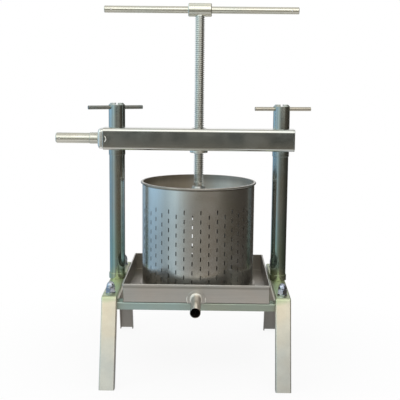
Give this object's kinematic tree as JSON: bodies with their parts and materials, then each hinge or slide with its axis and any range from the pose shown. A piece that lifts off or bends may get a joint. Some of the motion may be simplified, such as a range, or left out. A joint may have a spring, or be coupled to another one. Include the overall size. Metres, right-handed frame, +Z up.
{
  "type": "fruit press",
  "caption": "Bench-top steel fruit press: legged frame with posts and a clamped crossbeam, T-handle screw, pressing plate, perforated basket and square juice tray with a front spout.",
  "frame": {"origin": "on the bench, straight below the screw's axis, in the middle of the four feet", "axes": "+X to the right with the spout towards the viewer, +Y to the back, +Z up along the screw"},
  "size_m": [0.5222, 0.4454, 0.7355],
  "materials": {
    "plated_channel": "zinc-plated folded channel, satin with warm reflections",
    "plated_bar": "zinc-plated round bar, glossy with a faint blue and yellow sheen",
    "plated_tube": "zinc-plated square tube, glossy",
    "plated_handle": "zinc-plated bar, bright satin",
    "screw_steel": "turned steel, threaded, satin",
    "press_plate_steel": "stainless plate, brushed",
    "basket_steel": "stainless sheet, fine upright brushing",
    "tray_steel": "stainless sheet, satin, with welded corners",
    "fastener_steel": "zinc-plated fasteners, glossy with a blue sheen"
  },
  "bodies": {
    "root": {"left_side_rail": "plated_channel", "right_side_rail": "plated_channel", "front_left_leg": "plated_channel", "front_right_leg": "plated_channel", "back_left_leg": "plated_channel", "back_right_leg": "plated_channel", "front_cross_rail": "plated_channel", "back_cross_rail": "plated_channel", "left_post": "plated_bar", "right_post": "plated_bar", "left_foot_ring": "plated_bar", "right_foot_ring": "plated_bar", "left_post_collar": "plated_bar", "right_post_collar": "plated_bar", "cross_beam": "plated_tube", "left_beam_bush": "plated_tube", "right_beam_bush": "plated_tube", "beam_end_plate": "plated_tube", "beam_end_cap": "plated_tube", "grip_rod": "plated_handle", "grip_nut": "plated_handle", "grip_tube": "plated_handle", "grip_plug": "plated_handle", "screw_nut": "screw_steel", "juice_tray": "tray_steel", "tray_spout": "tray_steel", "spout_plate": "tray_steel", "spout_weld": "tray_steel", "drain_plate": "tray_steel", "drain_bars": "tray_steel", "rail_bolts": "fastener_steel", "rail_washers": "fastener_steel", "rail_cap_nuts": "fastener_steel", "rail_sleeves": "fastener_steel", "post_nuts": "fastener_steel"},
    "press_head": {"thrust_boss": "screw_steel", "boss_set_screw": "screw_steel", "pressing_plate": "press_plate_steel", "plate_gussets": "press_plate_steel"},
    "press_spindle": {"press_screw": "screw_steel", "handle_hub": "plated_handle", "handle_bar": "plated_handle", "handle_pin": "plated_handle"},
    "left_clamp": {"left_clamp_nut": "plated_bar", "left_clamp_bar": "plated_handle", "left_bar_pin": "plated_handle"},
    "right_clamp": {"right_clamp_nut": "plated_bar", "right_clamp_bar": "plated_handle", "right_bar_pin": "plated_handle"},
    "basket": {"basket_shell": "basket_steel", "basket_rim": "basket_steel"}
  },
  "joints": [
    {"name": "press_feed", "type": "slide", "parent": "root", "child": "press_head", "axis": [0, 0, 1], "range_m": [-0.155, 0.065]},
    {"name": "screw_turn", "type": "hinge", "parent": "press_head", "child": "press_spindle", "pos_m": [0, 0, 0.35], "axis": [0, 0, 1], "range_deg": [-13950, 5850]},
    {"name": "left_clamp_turn", "type": "hinge", "parent": "root", "child": "left_clamp", "pos_m": [-0.168, 0, 0.51], "axis": [0, 0, 1], "range_deg": [0, 810]},
    {"name": "right_clamp_turn", "type": "hinge", "parent": "root", "child": "right_clamp", "pos_m": [0.168, 0, 0.51], "axis": [0, 0, 1], "range_deg": [0, 810]},
    {"name": "basket_lift", "type": "slide", "parent": "root", "child": "basket", "axis": [0, 0, 1], "range_m": [0, 0.055]}
  ],
  "couplings": [
    {"joint": "press_feed", "follows": "screw_turn", "m_per_rad": 0.00063662}
  ]
}
